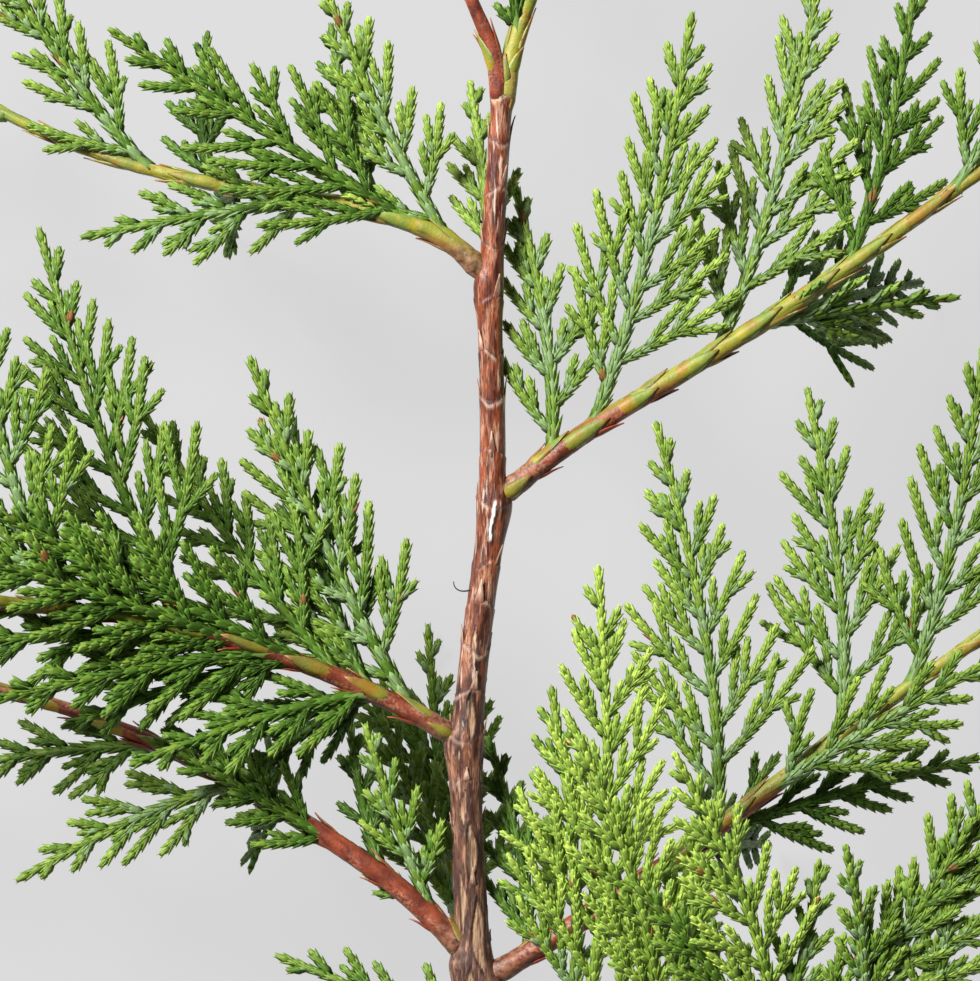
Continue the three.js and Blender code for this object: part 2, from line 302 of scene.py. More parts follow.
# Low on the stem the skin has split in long pointed slits, and the paler fibres under it show. Each
# slit: its turn round the stem, its height, half its width as a share of a turn, and half its length.
SLITS = [
    (0.47, 42.2, 0.035, 2.8), (0.53, 35.4, 0.06, 4.8), (0.56, 22.8, 0.065, 6.2), (0.52, 56.0, 0.045, 4.0),
    (0.42, 28.0, 0.035, 5.0), (0.45, 12.5, 0.05, 6.0), (0.61, 10.0, 0.04, 5.0), (0.15, 20.0, 0.06, 6.0),
    (0.80, 30.0, 0.06, 6.0), (0.95, 12.0, 0.07, 7.0), (0.30, 38.0, 0.05, 4.0), (0.72, 47.0, 0.05, 4.0),
    (0.48, 66.0, 0.03, 3.4), (0.07, 44.0, 0.05, 5.0),
]
slit = np.full_like(patches, -1.0)
for turn, height, half_width, half_length in SLITS:
    aside = np.abs(u - turn + 0.008 * streaks + 0.012 * np.sin(v * 0.7 + 9 * turn)) / half_width
    slit = np.maximum(slit, 1 - aside - ((v - height) / half_length) ** 2 + 0.07 * flecks)
inner_bark = ramp(0.0, 0.14, slit)
lip = np.exp(-(((slit + 0.02) / 0.16) ** 2))

thickness = 1 + 0.24 * swelling + 0.42 * shoulder
stem_radius = along(STEM["radii"], stem_line.share)[:, None] * thickness - 0.05
stem_radius = stem_radius + 0.17 * cushion - 0.07 * ledge + 0.04 * patches + (0.03 + 0.05 * old) * strips
stem_radius = stem_radius + 0.025 * flecks - 0.24 * inner_bark + 0.1 * lip
stem_radius = stem_radius * np.clip((STEM["length"] + 0.4 - v) / 4.4, 0, 1) ** 0.5

seam = u - 0.53 + 0.022 * ramp(86.3, 85.5, v) - 0.006 * np.sin(v * 2.3) + 0.004 * flecks
sap = ramp(0.017, 0.011, np.abs(seam)) * ramp(3.3, 2.7, np.abs(v - 85.2 + 0.4 * flecks))
crack = ramp(0.03, 0.012, np.abs(seam - 0.03)) * ramp(3.8, 2.4, np.abs(v - 84.6 + 0.4 * flecks))
# The rim just below each ledge is the leaf bases' pale papery edge, paled further as a painted highlight.
rim = np.max([np.exp(-(((d + 0.35) / 0.3) ** 2)) for d in ledges], axis=0)
marks = {
    "ledge": ledge * ramp(-0.6, 0.2, strips + 0.5 * flecks),
    "rim": rim * ramp(-0.1, 0.7, patches + 0.6 * strips + 0.4 * flecks) * (1 - 0.7 * old),
    "pale": ramp(-0.1, 0.7, 0.5 * flecks + 0.5 * streaks + 0.5 * patches),
    "dark": ramp(-0.05, 0.6, 0.7 * strips + 0.5 * streaks),
    "inner": inner_bark,
    "lip": lip,
    "old": old + 0 * u,
    "green": ramp(-0.6, 0.2, ledges[-1]),
    "scurf": shoulder * ramp(-0.5, 0.5, patches + flecks),
    "crack": crack,
    "sap": sap,
}
marks = {name: np.append(values.ravel(), [0.0, 0.0]) for name, values in marks.items()}

bark, tree, shader, speckle, read = finish_of("fibrous_bark")
hairline = speckle(0.22, 4.0, stretch=7.0)
streak = speckle(0.8, 4.0, stretch=7.0)
broad = speckle(1.5, 3.0, stretch=4.0).within(0.36, 0.64)
young = broad.blend(light_of(95, 39, 25), light_of(163, 86, 52))
weathered = broad.blend(light_of(71, 44, 37), light_of(119, 83, 62))
skin = (read("old") * 0.9).blend(young, weathered)
skin = (read("green") * 0.8).blend(skin, broad.blend(light_of(92, 106, 46), light_of(142, 132, 66)))
skin = (streak.within(0.53, 0.64) * 0.6).blend(skin, light_of(206, 150, 116))
fibres = speckle(0.34, 3.0, stretch=9.0).within(0.38, 0.62)
fibres = fibres.blend(light_of(124, 84, 60), light_of(214, 176, 140))
scurf = speckle(0.7).within(0.36, 0.62).blend(light_of(66, 44, 38), light_of(178, 138, 116))
skin = (read("scurf") * 0.6).blend(skin, scurf)
skin = (hairline.within(0.52, 0.61) * 0.7).blend(skin, light_of(50, 24, 16))
skin = (read("inner") * 0.85).blend(skin, fibres)
skin = (read("dark") * streak.within(0.56, 0.44) * 0.85).blend(skin, light_of(44, 23, 16))
flaked = speckle(0.5, 3.0, stretch=8.0).within(0.54, 0.62) * 0.85
skin = (read("pale") * flaked * (1 - 0.55 * read("old"))).blend(skin, light_of(240, 206, 184))
# Pale rim below the ledges: papery edge and painted highlight.
skin = (read("rim") * 0.7).blend(skin, light_of(222, 184, 160))
# Painted shadow: a dark line just above every ledge.
skin = (read("ledge") * 0.9).blend(skin, light_of(34, 20, 15))
skin = (read("lip") * 0.9).blend(skin, light_of(40, 24, 19))
skin = (read("crack") * 0.85).blend(skin, light_of(40, 26, 20))
skin = read("sap").blend(skin, light_of(246, 242, 234))
rough = 0.36 + 0.32 * read("old") + 0.3 * read("rim") + 0.4 * read("ledge")
wire(tree, shader, skin, rough, hairline, 0.0002)

points, quads, ends = round_shape(stem_line, stem_radius)
piece("stem_bark", points, [quads, ends], bark, ["stem"], marks)

# Loose fibre: one dry thread of the bark that has sprung from the stem's left side and curled up. Its
# foot is still held in the bark.

FIBRE = dict(length=3.4, headings=[196, 184, 160, 120, 84], tilts=[6], radii=(0.13, 0.07))
FIBRE_HEIGHT, FIBRE_STEP, FIBRE_SIDES = 74.8, 0.25, 8
fibre_line = limb_line(stem_line.at(FIBRE_HEIGHT)[0] + [-1.9, 0.0, 0.6], FIBRE, FIBRE_STEP)
dry_fibre, tree, shader, speckle, read = finish_of("dry_fibre")
wire(tree, shader, speckle(0.5).blend(light_of(34, 26, 22), light_of(60, 44, 36)), 0.7)
fibre_radius = np.repeat(along(FIBRE["radii"], fibre_line.share)[:, None], FIBRE_SIDES, 1)
points, quads, ends = round_shape(fibre_line, fibre_radius)
piece("stem_loose_fibre", points, [quads, ends], dry_fibre)

# Boughs: side shoots of the stem and the two shoots of its fork. Their bark is thin and red-brown near
# the stem, and olive green further out, where the long feet of the scale leaves still clothe it.

END = 1e9


def spray(at, length, heading, tilt, turn=0.0, tint_and_painted_light=0.0, twin=None, scale=1.0):
    # A spray's foot along its bough, its length, where it points, its turn, its tint with painted shade and
    # light (darker in shade, lighter where lit), a twin fan, and how stout its shoots and leaves are.
    look = dict(tint_and_painted_light=tint_and_painted_light, twin=twin, scale=scale)
    return dict(at=at, length=length, heading=heading, tilt=tilt, turn=turn, **look)


BOUGHS = [
    dict(
        name="upper_right", height=87.5, length=122.0, radii=(1.65, 1.4, 1.0, 0.7),
        bare=16.0, clothed=4.0,
        headings=[42, 31, 32, 36, 36, 40], tilts=[0, 2, 2, 0, 0, 4],
        sprays=[
            spray(11.6, 43, 104, -8, tint_and_painted_light=0.2, scale=1.06),
            spray(18.8, 64, 81, 7, tint_and_painted_light=0.35),
            spray(41, 60, 79, -6, -10, tint_and_painted_light=0.3),
            spray(64, 50, 80, -18, 15, tint_and_painted_light=-0.25),
            spray(84, 46, 66, 8),
            spray(48, 55.7, 13, -60, tint_and_painted_light=-0.4, twin=spray(48, 32, 6, -12, 35, tint_and_painted_light=0.0)),
            spray(END, 36, 44, 5),
        ],
    ),
    dict(
        name="upper_left", height=120.5, length=112.0, radii=(1.65, 1.15, 0.85, 0.65),
        bare=-12.0, clothed=3.0,
        headings=[122, 158, 171, 171, 165, 157, 152, 150, 150], tilts=[0, -2, -5, -8, -8, -6],
        sprays=[
            spray(9, 44, 113, 6, tint_and_painted_light=0.35),
            spray(20, 34, 99, -24, tint_and_painted_light=-0.2),
            spray(14, 55, 147, 13, tint_and_painted_light=-0.2),
            spray(30, 36, 191, 2, tint_and_painted_light=-0.05),
            spray(56, 44, 121, 10, tint_and_painted_light=0.1),
            spray(46, 27, 86, -26, tint_and_painted_light=-0.5),
            spray(41, 43.5, 258, -84, tint_and_painted_light=-0.5),
            spray(END, 36, 150, 0),
        ],
    ),
    dict(
        name="middle_left", height=51.5, length=98.0, radii=(1.6, 0.7),
        bare=44.0, clothed=4.0,
        headings=[147, 156, 162, 172, 172, 168], tilts=[4, 14, 24, 24, 18, 10],
        sprays=[
            spray(9, 59, 111, 2, tint_and_painted_light=0.05, scale=1.08),
            spray(21, 52, 124, -4, tint_and_painted_light=-0.1),
            spray(46, 64, 106, -6, tint_and_painted_light=-0.1),
            spray(66, 54, 98, 6, tint_and_painted_light=-0.05),
            spray(16, 32, 222, -18, tint_and_painted_light=-0.6, twin=spray(16, 40, 200, 25, 20, tint_and_painted_light=-0.3, scale=1.08)),
            spray(33, 44, 192, 26, tint_and_painted_light=-0.4, scale=1.12),
            spray(END, 40, 166, 8, tint_and_painted_light=-0.2),
            spray(25, 58, 152, 25, tint_and_painted_light=-0.4, scale=1.08),
            spray(38, 50, 160, 31, tint_and_painted_light=-0.3, scale=1.12),
            spray(44, 46, 184, 18, tint_and_painted_light=-0.4, scale=1.08),
            spray(30, 36, 200, 18, tint_and_painted_light=-0.45, scale=1.08),
            spray(52, 44, 150, 16, tint_and_painted_light=-0.3, scale=1.08),
            spray(17, 44, 101, -12, tint_and_painted_light=-0.5),
        ],
    ),
    dict(
        name="lower_left", height=18.5, length=106.0, radii=(1.8, 0.7),
        bare=84.0, clothed=50.0,
        headings=[128, 145, 150, 158, 165, 170], tilts=[2, 2, 3, 3, 1, 0],
        sprays=[
            spray(8.5, 32, 107, 6, -10, tint_and_painted_light=0.1),
            spray(19, 24, 99, -16, tint_and_painted_light=-0.4),
            spray(26, 34, 149, 14, 15, tint_and_painted_light=-0.25, twin=spray(33, 26, 143, 10, -15, tint_and_painted_light=-0.3)),
            spray(45, 36, 209, 4, tint_and_painted_light=0.2),
            spray(58, 32, 190, -12, tint_and_painted_light=-0.1),
            spray(36, 46.3, 240, -85, tint_and_painted_light=-0.5),
            spray(END, 36, 176, 0),
        ],
    ),
    dict(
        name="lower_right", height=15.5, length=118.0, radii=(1.75, 0.7),
        bare=40.0, clothed=26.0,
        headings=[30, 33, 37, 36, 33, 31], tilts=[0, 0, 0, -2, -2, 0],
        sprays=[
            spray(9, 34, 108, -15, tint_and_painted_light=-0.4),
            spray(43, 62, 105, 3, tint_and_painted_light=0.35, scale=0.98),
            spray(66, 53, 101, -5, tint_and_painted_light=0.2, scale=0.98),
            spray(79, 54, 83, 6, tint_and_painted_light=0.1),
            spray(41, 46, 12, -18, tint_and_painted_light=-0.3),
            spray(35, 48, -20, -72, tint_and_painted_light=-0.5),
            spray(END, 36, 38, 0),
            spray(52, 46, 31, 16, 10, tint_and_painted_light=0.2),
        ],
    ),
    dict(
        name="front_right", height=10.5, length=92.0, radii=(1.6, 0.7),
        bare=30.0, clothed=10.0,
        headings=[10, 2, 0, 2, 5], tilts=[50, 44, 24, 8, 4],
        sprays=[
            spray(22.5, 69, 94, 8, tint_and_painted_light=0.75, scale=0.93),
            spray(36, 48, 112, 16, tint_and_painted_light=0.6, scale=0.93, twin=spray(36, 30, 84, 24, tint_and_painted_light=0.4, scale=0.93)),
            spray(54, 27, 84, 14, tint_and_painted_light=0.1, scale=0.93, twin=spray(54, 46, 118, 15, tint_and_painted_light=0.6, scale=0.93)),
            spray(66, 50, 72, 16, tint_and_painted_light=0.2, scale=0.93, twin=spray(66, 30, 104, 20, tint_and_painted_light=0.1, scale=0.93)),
            spray(END, 34, 30, 6, tint_and_painted_light=0.3, scale=0.93),
            spray(28, 38, 72, 14, tint_and_painted_light=0.5, scale=0.93),
            spray(20, 50, 99, 2, tint_and_painted_light=0.3, scale=0.95),
            spray(50, 30, 134, 16, tint_and_painted_light=-0.1, scale=0.93),
            spray(60, 40, 62, 18, tint_and_painted_light=0.1, scale=0.93),
            spray(75, 31, 92, 16, tint_and_painted_light=0.1, scale=0.93),
        ],
    ),
    dict(
        name="back", height=8.0, length=53.5, radii=(1.5, 0.75),
        bare=0.0, clothed=5.0,
        headings=[112, 104, 96], tilts=[-80, -62, -14],
        sprays=[
            spray(END, 32, 94, 5, tint_and_painted_light=0.1, twin=spray(END, 34, 140, 4, tint_and_painted_light=-0.1)),
            spray(38, 40, 112, 10, tint_and_painted_light=0.1),
            spray(32, 44, 84, 8, tint_and_painted_light=0.1),
        ],
    ),
    dict(
        name="leader", offset=0.55, length=62.8, radii=(1.35, 0.7),
        bare=-40.0, clothed=8.0,
        headings=[88, 83, 73, 71, 73, 75, 77, 79, 81, 83, 85, 86], tilts=[0, 3, 0],
        sprays=[
            spray(18.8, 40, 42, -10),
            spray(END, 38, 88, 0, tint_and_painted_light=0.2, twin=spray(END, 36, 118, -6)),
            spray(12.5, 16, 100, 22, tint_and_painted_light=-0.4),
        ],
    ),
    dict(
        name="side_shoot", offset=-0.25, length=48.8, radii=(1.2, 0.65),
        bare=65.0, clothed=35.0,
        headings=[90, 92, 106, 113, 114, 115, 115, 115, 115, 114, 113, 112], tilts=[6, 8, 5],
        sprays=[spray(END, 34, 110, 0, tint_and_painted_light=0.2, twin=spray(END, 32, 156, 4))],
    ),
]
STEM_SPRAYS = [spray(124.5, 30, 98, -24, tint_and_painted_light=0.4), spray(3.5, 36, 160, -12, tint_and_painted_light=-0.1)]
# Smaller sprays follow on every limb's outer part: where they start along it, their length, and the angles
# at which they leave it in turn, above zero to its left.
OUTER_PITCH = 12.0
OUTER_SPRAYS = dict(
    upper_right=(92, 33, (-48, 48)),
    upper_left=(80, 31, (48, -48)),
    middle_left=(78, 32, (48, -48)),
    lower_left=(88, 32, (-48, 48)),
    lower_right=(92, 33, (-48, 48)),
    front_right=(34, 20, (-34,)),
    leader=(28, 34, (48, -48)),
    side_shoot=(22, 31, (48, -48)),
)


def outer_sprays(bough):
    first, length, angles = OUTER_SPRAYS.get(bough["name"], (END, 0, ()))
    for k, place in enumerate(np.arange(first, bough["length"] - 6.0, OUTER_PITCH)):
        share, chance = place / bough["length"], jitter(first + length, k + np.arange(4))
        heading = along(bough["headings"], share) + angles[k % len(angles)] + 5 * chance[0]
        tilt = 0.7 * along(bough["tilts"], share) + 6 * chance[1]
        yield spray(place, length - 3.0 * k + 2 * chance[2], heading, tilt, 10 * chance[3], tint_and_painted_light=0.12)


BOUGH_STEP, BOUGH_SIDES = 0.45, 24
# The fork's two shoots start inside the stem, this far below its top.
FORK_DEPTH = 7.0

young_bark, tree, shader, speckle, read = finish_of("young_bark")
brown = speckle(2.4).within(0.3, 0.7).blend(light_of(164, 76, 46), light_of(92, 36, 24))
olive = speckle(3.0).blend(light_of(176, 162, 46), light_of(120, 140, 48))
skin = read("green").blend(brown, olive)
# Painted highlight: pale pink flecks along the bark's fibres, standing for light caught by its glossy
# wrinkles.
skin = (read("pale") * speckle(0.5, 2.0).within(0.4, 0.6) * 0.6).blend(skin, light_of(214, 150, 120))
skin = (read("line") * 0.8).blend(skin, light_of(52, 28, 20))
scurf = speckle(0.9).within(0.36, 0.62).blend(light_of(56, 36, 28), light_of(160, 116, 88))
skin = (read("collar") * 0.85).blend(skin, scurf)
wire(tree, shader, skin, 0.4 + 0.25 * speckle(0.8), speckle(0.35, 2.0), 0.00012)

for bough in BOUGHS:
    on_stem = "height" in bough
    if on_stem:
        start = stem_line.at(bough["height"])[0]
    else:
        start = stem_line.at(STEM["length"] - FORK_DEPTH)[0] + [bough["offset"], 0.0, 0.2]
    bough["line"] = line = limb_line(start, bough, BOUGH_STEP)
    u = (np.arange(BOUGH_SIDES) / BOUGH_SIDES)[None, :]
    v = (line.share * bough["length"])[:, None]
    seed = bough["length"]
    strips = grain(u * 7, v / 9.0, 7, seed)
    fibres = grain(u * 13, v / 3.0, 13, seed + 1)
    crack = ramp(0.8, 1.0, 1 - np.abs(grain(u * 6, v / 11.0, 6, seed + 2)) * 2.2)
    near = np.exp(-((v / 5.5) ** 2)) * on_stem
    wrinkles = grain(u * 4, v / 0.8, 4, seed + 3)
    flare, widest, hidden = (0.22, 0.0, (-1.4, 4.4)) if on_stem else (0.26, 4.5, (-0.8, 3.6))
    foot = 1 + flare * np.exp(-(((v[:, 0] - widest) / 5.0) ** 2))
    bough["radius"] = along(bough["radii"], line.share) * foot * ramp(*hidden, v[:, 0])
    radius = bough["radius"][:, None] + 0.05 * strips + 0.03 * fibres - 0.08 * crack
    radius = radius + (0.03 + 0.12 * near) * wrinkles
    # The side of a bough that faces the light is painted greener and the side away from it browner: painted
    # light and shade laid over the bark's real change from brown near the stem to green further out.
    angle = 2 * np.pi * u - np.pi / 2
    lit = np.cos(angle) * line.side[:, 1:2] + np.sin(angle) * line.normal[:, 1:2]
    marks = {
        "green": ramp(0, 26, v - bough["bare"] + 9 * strips + 17 * lit),
        "pale": ramp(0.1, 0.8, fibres * 0.8 + strips * 0.5),
        "line": np.maximum(crack * 0.8, ramp(0.35, 0.8, wrinkles) * (0.25 + 0.6 * near)),
        "collar": np.exp(-(((v + 0.8 * strips) / 8.0) ** 4)) * on_stem,
    }
    marks = {name: np.append(values.ravel(), [0.0, 0.0]) for name, values in marks.items()}
    points, quads, ends = round_shape(line, radius)
    node = f"bough_{bough['name']}" if on_stem else bough["name"]
    piece(f"{node}_bark", points, [quads, ends], young_bark, [node], marks)

# Leaf feet: the long scale leaves of last year, in crossed pairs, whose feet run down the bough. Near the
# stem they have died back to short dry points with bark between them.

FOOT_ROWS, FOOT_COLUMNS = 8, 5
foot_s = np.linspace(0, 1, FOOT_ROWS)[:, None]
foot_a = np.linspace(-1, 1, FOOT_COLUMNS)[None, :]


def leaf_feet(line, radius, feet, widest=0.42, base=0.7, blunt=1.3, sunk=0.24, proud=0.34):
    # Closed shells that lie on a limb. Each foot: its place, length, angle, half angle, bulge, the lift of
    # its tip, and its age from 0 to 1.
    points, faces, tips, edges, ages = [], [], [], [], []
    rows, columns = FOOT_ROWS, FOOT_COLUMNS
    i, k = np.arange(rows - 1)[:, None] * columns, np.arange(columns - 1)[None]
    outer = np.stack([i + k, i + k + 1, i + columns + k + 1, i + columns + k], -1).reshape(-1, 4)
    inner = outer[:, ::-1] + rows * columns
    rim = [*range(columns), *range(2 * columns - 1, rows * columns, columns)]
    rim += [*range(rows * columns - 2, (rows - 1) * columns - 1, -1)]
    rim = np.array([*rim, *range((rows - 2) * columns, 0, -columns)])
    after = np.roll(rim, -1)
    wall = np.stack([after, rim, rim + rows * columns, after + rows * columns], -1)
    swell = 1 - (1 - base) * np.clip(1 - foot_s / widest, 0, 1) ** 2
    taper = swell * (1 - np.clip((foot_s - widest) / (1 - widest), 0, 1) ** blunt)
    crown = (1 - foot_a**2) * np.sin(np.pi * foot_s**0.8)
    for count, (place, length, angle, half, bulge, lift, age) in enumerate(feet):
        point, ahead, normal, side = line.at(place + foot_s[:, 0] * length)
        limb = np.interp(np.clip((place + foot_s * length) / line.length, 0, 1), line.share, radius)
        turn = angle + foot_a * half * np.maximum(taper, 0.05)
        out = np.cos(turn)[..., None] * side[:, None] + np.sin(turn)[..., None] * normal[:, None]
        rise = proud * ramp(0, 0.5, foot_s) - sunk + bulge * crown + lift * foot_s**3
        for sink in (0.0, 0.16):
            points.append((point[:, None] + out * (limb + rise - sink)[..., None]).reshape(-1, 3))
            tips.append((foot_s + 0 * foot_a).ravel())
            edges.append(np.abs(foot_a + 0 * foot_s).ravel())
            ages.append(np.full(rows * columns, age))
        faces.append(np.concatenate([outer, inner, wall]) + count * 2 * rows * columns)
    marks = dict(tip=np.concatenate(tips), edge=np.concatenate(edges), age=np.concatenate(ages))
    return np.concatenate(points), np.concatenate(faces), marks


def joined(shapes):
    points, faces, marks, start = [], [], {}, 0
    for shape_points, shape_faces, shape_marks in shapes:
        points.append(shape_points)
        faces.append(shape_faces + start)
        start += len(shape_points)
        for name, values in shape_marks.items():
            marks.setdefault(name, []).append(values)
    return np.concatenate(points), np.concatenate(faces), {n: np.concatenate(m) for n, m in marks.items()}


FOOT_PITCH = 5.0
# Broad leaves clasp the feet of the fork's shoots, and short ones stand where some boughs leave the stem.
FIRST_FEET = dict(
    stem=[(145.0, 7.8, 2.9, 0.6, 0.1, 0.5, 0.5)],
    leader=[(5.5, 5.2, 2.3, 0.8, 0.2, 0.9, 0.0), (3.6, 5.6, 1.0, 0.9, 0.12, 0.3, 0.2)],
    side_shoot=[(5.2, 8.6, 0.3, 1.3, 0.2, 0.4, 0.1)],
    upper_right=[(1.0, 6.6, 1.75, 0.8, 0.14, 0.25, 0.3), (6.5, 9.5, 0.55, 0.8, 0.12, 0.3, 0.0)],
    middle_left=[(2.0, 5.2, 1.5, 0.6, 0.14, 0.2, 0.35), (5.0, 8.5, 2.6, 0.7, 0.12, 0.5, 0.15)],
    lower_left=[(2.4, 5.6, 2.5, 0.7, 0.14, 0.4, 0.45)],
)
FIRST_SHAPE = dict(widest=0.34, base=0.6, blunt=1.15, sunk=0.26, proud=0.38)
shapes = []
for number, bough in enumerate(BOUGHS):
    feet = []
    for k in range(int(bough["length"] / FOOT_PITCH)):
        place = 2.0 + k * FOOT_PITCH
        fresh = float(ramp(-6.0, 30.0, place - bough["bare"]))
        facing = k % 2 == 0
        if place > bough["length"] - 7 or facing and place < bough["clothed"]:
            continue
        quarter = (np.pi / 2 if facing else 0.0) + 0.45 * float(jitter(number + 9, k))
        for angle in (quarter, quarter + np.pi):
            _, _, normal, side = bough["line"].at(place)
            lit = float((np.cos(angle) * side + np.sin(angle) * normal)[1])
            chance = abs(float(jitter(number + 20, k + angle)))
            # Side feet on the limb's side away from the light are painted browner, as painted shade on top
            # of their dryness near the stem; lit ones are painted greener.
            dry_and_painted_shade = 0.15 * (1 - fresh) if facing else (1.1 - 0.55 * lit) * (1 - fresh) - 0.25 * lit * fresh
            age = float(np.clip(dry_and_painted_shade + 0.4 * (chance - 0.5), 0, 1))
            length = (9.0 if facing else 6.0) + 2.6 * fresh + 1.6 * float(jitter(number + 3, k + angle))
            half = 1.0 + 0.25 * fresh if facing else 0.5 + 0.4 * fresh
            lift = 0.04 + 0.12 * chance if facing else (0.3 + 0.6 * chance) * (1 - 0.5 * fresh)
            feet.append((place, length, angle, half, 0.14, lift, age))
    shapes.append(leaf_feet(bough["line"], bough["radius"], feet))
    if bough["name"] in FIRST_FEET:
        shapes.append(leaf_feet(bough["line"], bough["radius"], FIRST_FEET[bough["name"]], **FIRST_SHAPE))
shapes.append(leaf_feet(stem_line, stem_radius.mean(1), FIRST_FEET["stem"], **FIRST_SHAPE))

leaf_foot, tree, shader, speckle, read = finish_of("leaf_feet")
yellow = speckle(2.4).within(0.35, 0.65).blend(light_of(176, 160, 46), light_of(118, 134, 46))
green = speckle(1.6).within(0.35, 0.65).blend(light_of(96, 128, 46), light_of(142, 160, 70))
skin = read("tip").within(0.3, 0.85).blend(yellow, green)
skin = (read("edge").within(0.35, 0.7) * 0.6).blend(skin, light_of(104, 138, 56))
skin = (speckle(5.0).within(0.54, 0.64) * 0.55).blend(skin, light_of(168, 94, 30))
rim = speckle(2.0).within(0.45, 0.55).blend(light_of(140, 84, 40), light_of(186, 194, 130))
skin = (read("edge").within(0.78, 0.92) * 0.75).blend(skin, rim)
skin = read("age").blend(skin, speckle(1.5).blend(light_of(166, 76, 46), light_of(106, 46, 30)))
skin = (read("tip").within(0.74, 0.98) * (0.35 + 0.4 * read("age"))).blend(skin, light_of(176, 96, 64))
wire(tree, shader, skin, 0.38 + 0.2 * speckle(0.9), speckle(0.4, 2.0), 0.0001)
shader.inputs["Specular IOR Level"].default_value = 0.36
points, faces, marks = joined(shapes)
piece("bough_leaf_feet", points, [faces], leaf_foot, (), marks)

# Old leaf points: the dry ends of the leader's own first leaves, a pair on each of the stem's ledges. They
# have worn to thin papery points that stand a little off the bark.

DRY_SHAPE = dict(widest=0.15, base=0.9, blunt=0.85, sunk=0.34, proud=0.5)
shapes = []
for k, (height, turn) in enumerate(OLD_LEAVES):
    for other in range(2):
        turn_here = turn + 0.5 * other + 0.03 * float(jitter(5, k * 4 + other))
        worn = abs(float(jitter(7, k * 4 + other)))
        age = float(1 - ramp(25, 95, height))
        length = (3.8 + 2.0 * worn) * (1 - 0.3 * age)
        half = (0.4 + 0.16 * worn) * (1 - 0.3 * age)
        angle, lift = (turn_here - 0.25) * 2 * np.pi, 0.15 + 0.5 * worn
        foot = (height - 0.25 * length, length, angle, half, 0.03, lift, age)
        columns = (int(turn_here * STEM_SIDES) + np.arange(-4, 5)) % STEM_SIDES
        shapes.append(leaf_feet(stem_line, stem_radius[:, columns].mean(1), [foot], **DRY_SHAPE))
dry_leaf, tree, shader, speckle, read = finish_of("dry_leaf_points")
skin = speckle(0.4, 3.0, stretch=8.0).within(0.4, 0.6).blend(light_of(122, 68, 50), light_of(222, 184, 158))
skin = (read("tip").within(0.5, 1.0) * 0.6).blend(skin, light_of(226, 194, 168))
base = read("age").blend(light_of(132, 68, 46), light_of(100, 70, 58))
skin = read("tip").within(0.3, 0.65).blend(base, skin)
skin = (read("edge").within(0.8, 1.0) * 0.5).blend(skin, light_of(92, 54, 40))
wire(tree, shader, skin, 0.7, speckle(0.3, 2.0), 0.0001)
points, faces, marks = joined(shapes)
piece("stem_old_leaf_points", points, [faces], dry_leaf, (), marks)

# Sprays: flat ferny branchlets on alternate sides of a bent stalk, each with smaller ones on it. Slim green
# twigs carry them, and crossed pairs of tiny scale leaves clothe them to their tips.

STALK_START = 0.7
# Sprays that hang steeply stop short of the floor.
STEEP, HANGING_CLEAR = -50, 2.9
BARE_FOOT, BARE_TIP = 0.1, 0.09
PITCH = 3.3
SPREAD = 0.385
WHORL = 0.8
# Smaller branchlets: their side, 1 towards the stalk's tip, their place and length as shares of the
# branchlet's own length, and the shortest branchlet that has them.
SIDE_TWIGS = [(1, 0.22, 0.46, 5.0), (1, 0.44, 0.4, 13.0), (-1, 0.46, 0.32, 12.0)]


class Shoot:
    # One leafy shoot: its line, its leaves' scale at both ends, its rank, its spray and its swollen foot.
    def __init__(self, line, sizes, rank, group, foot=0.0):
        self.line, self.sizes, self.rank, self.group, self.foot = line, sizes, rank, group, foot


def branchlet(start, ahead, pull, normal, length, droop):
    # A shoot that bends from its first direction towards the way its parent grows.
    def look(share):
        return unit(ahead + share[:, None] * (0.45 * pull + droop * normal))

    made = Line(start, length, look, 1.0)
    made.normal = unit(normal - made.ahead * np.sum(normal * made.ahead, -1, keepdims=True))
    made.side = np.cross(made.normal, made.ahead)
    return made


def stalk_line(start, bough_ahead, share_turned, size):
    last = direction(size["heading"], size["tilt"])
    first = unit(bough_ahead + (last - bough_ahead) * share_turned)
    angle = np.arccos(np.clip(first @ last, -1, 1))
    axis = unit(np.cross(first, last) + [0, 0, 1e-9])

    def look(share):
        turns = angle * (1 - (1 - share) ** 2)
        return np.stack([turned(first, axis, turn) for turn in turns])

    hanging = size["tilt"] < STEEP
    return Line(start, size["length"] - HANGING_CLEAR * hanging, look, 0.8, size["turn"])


shoots, sprays = [], []


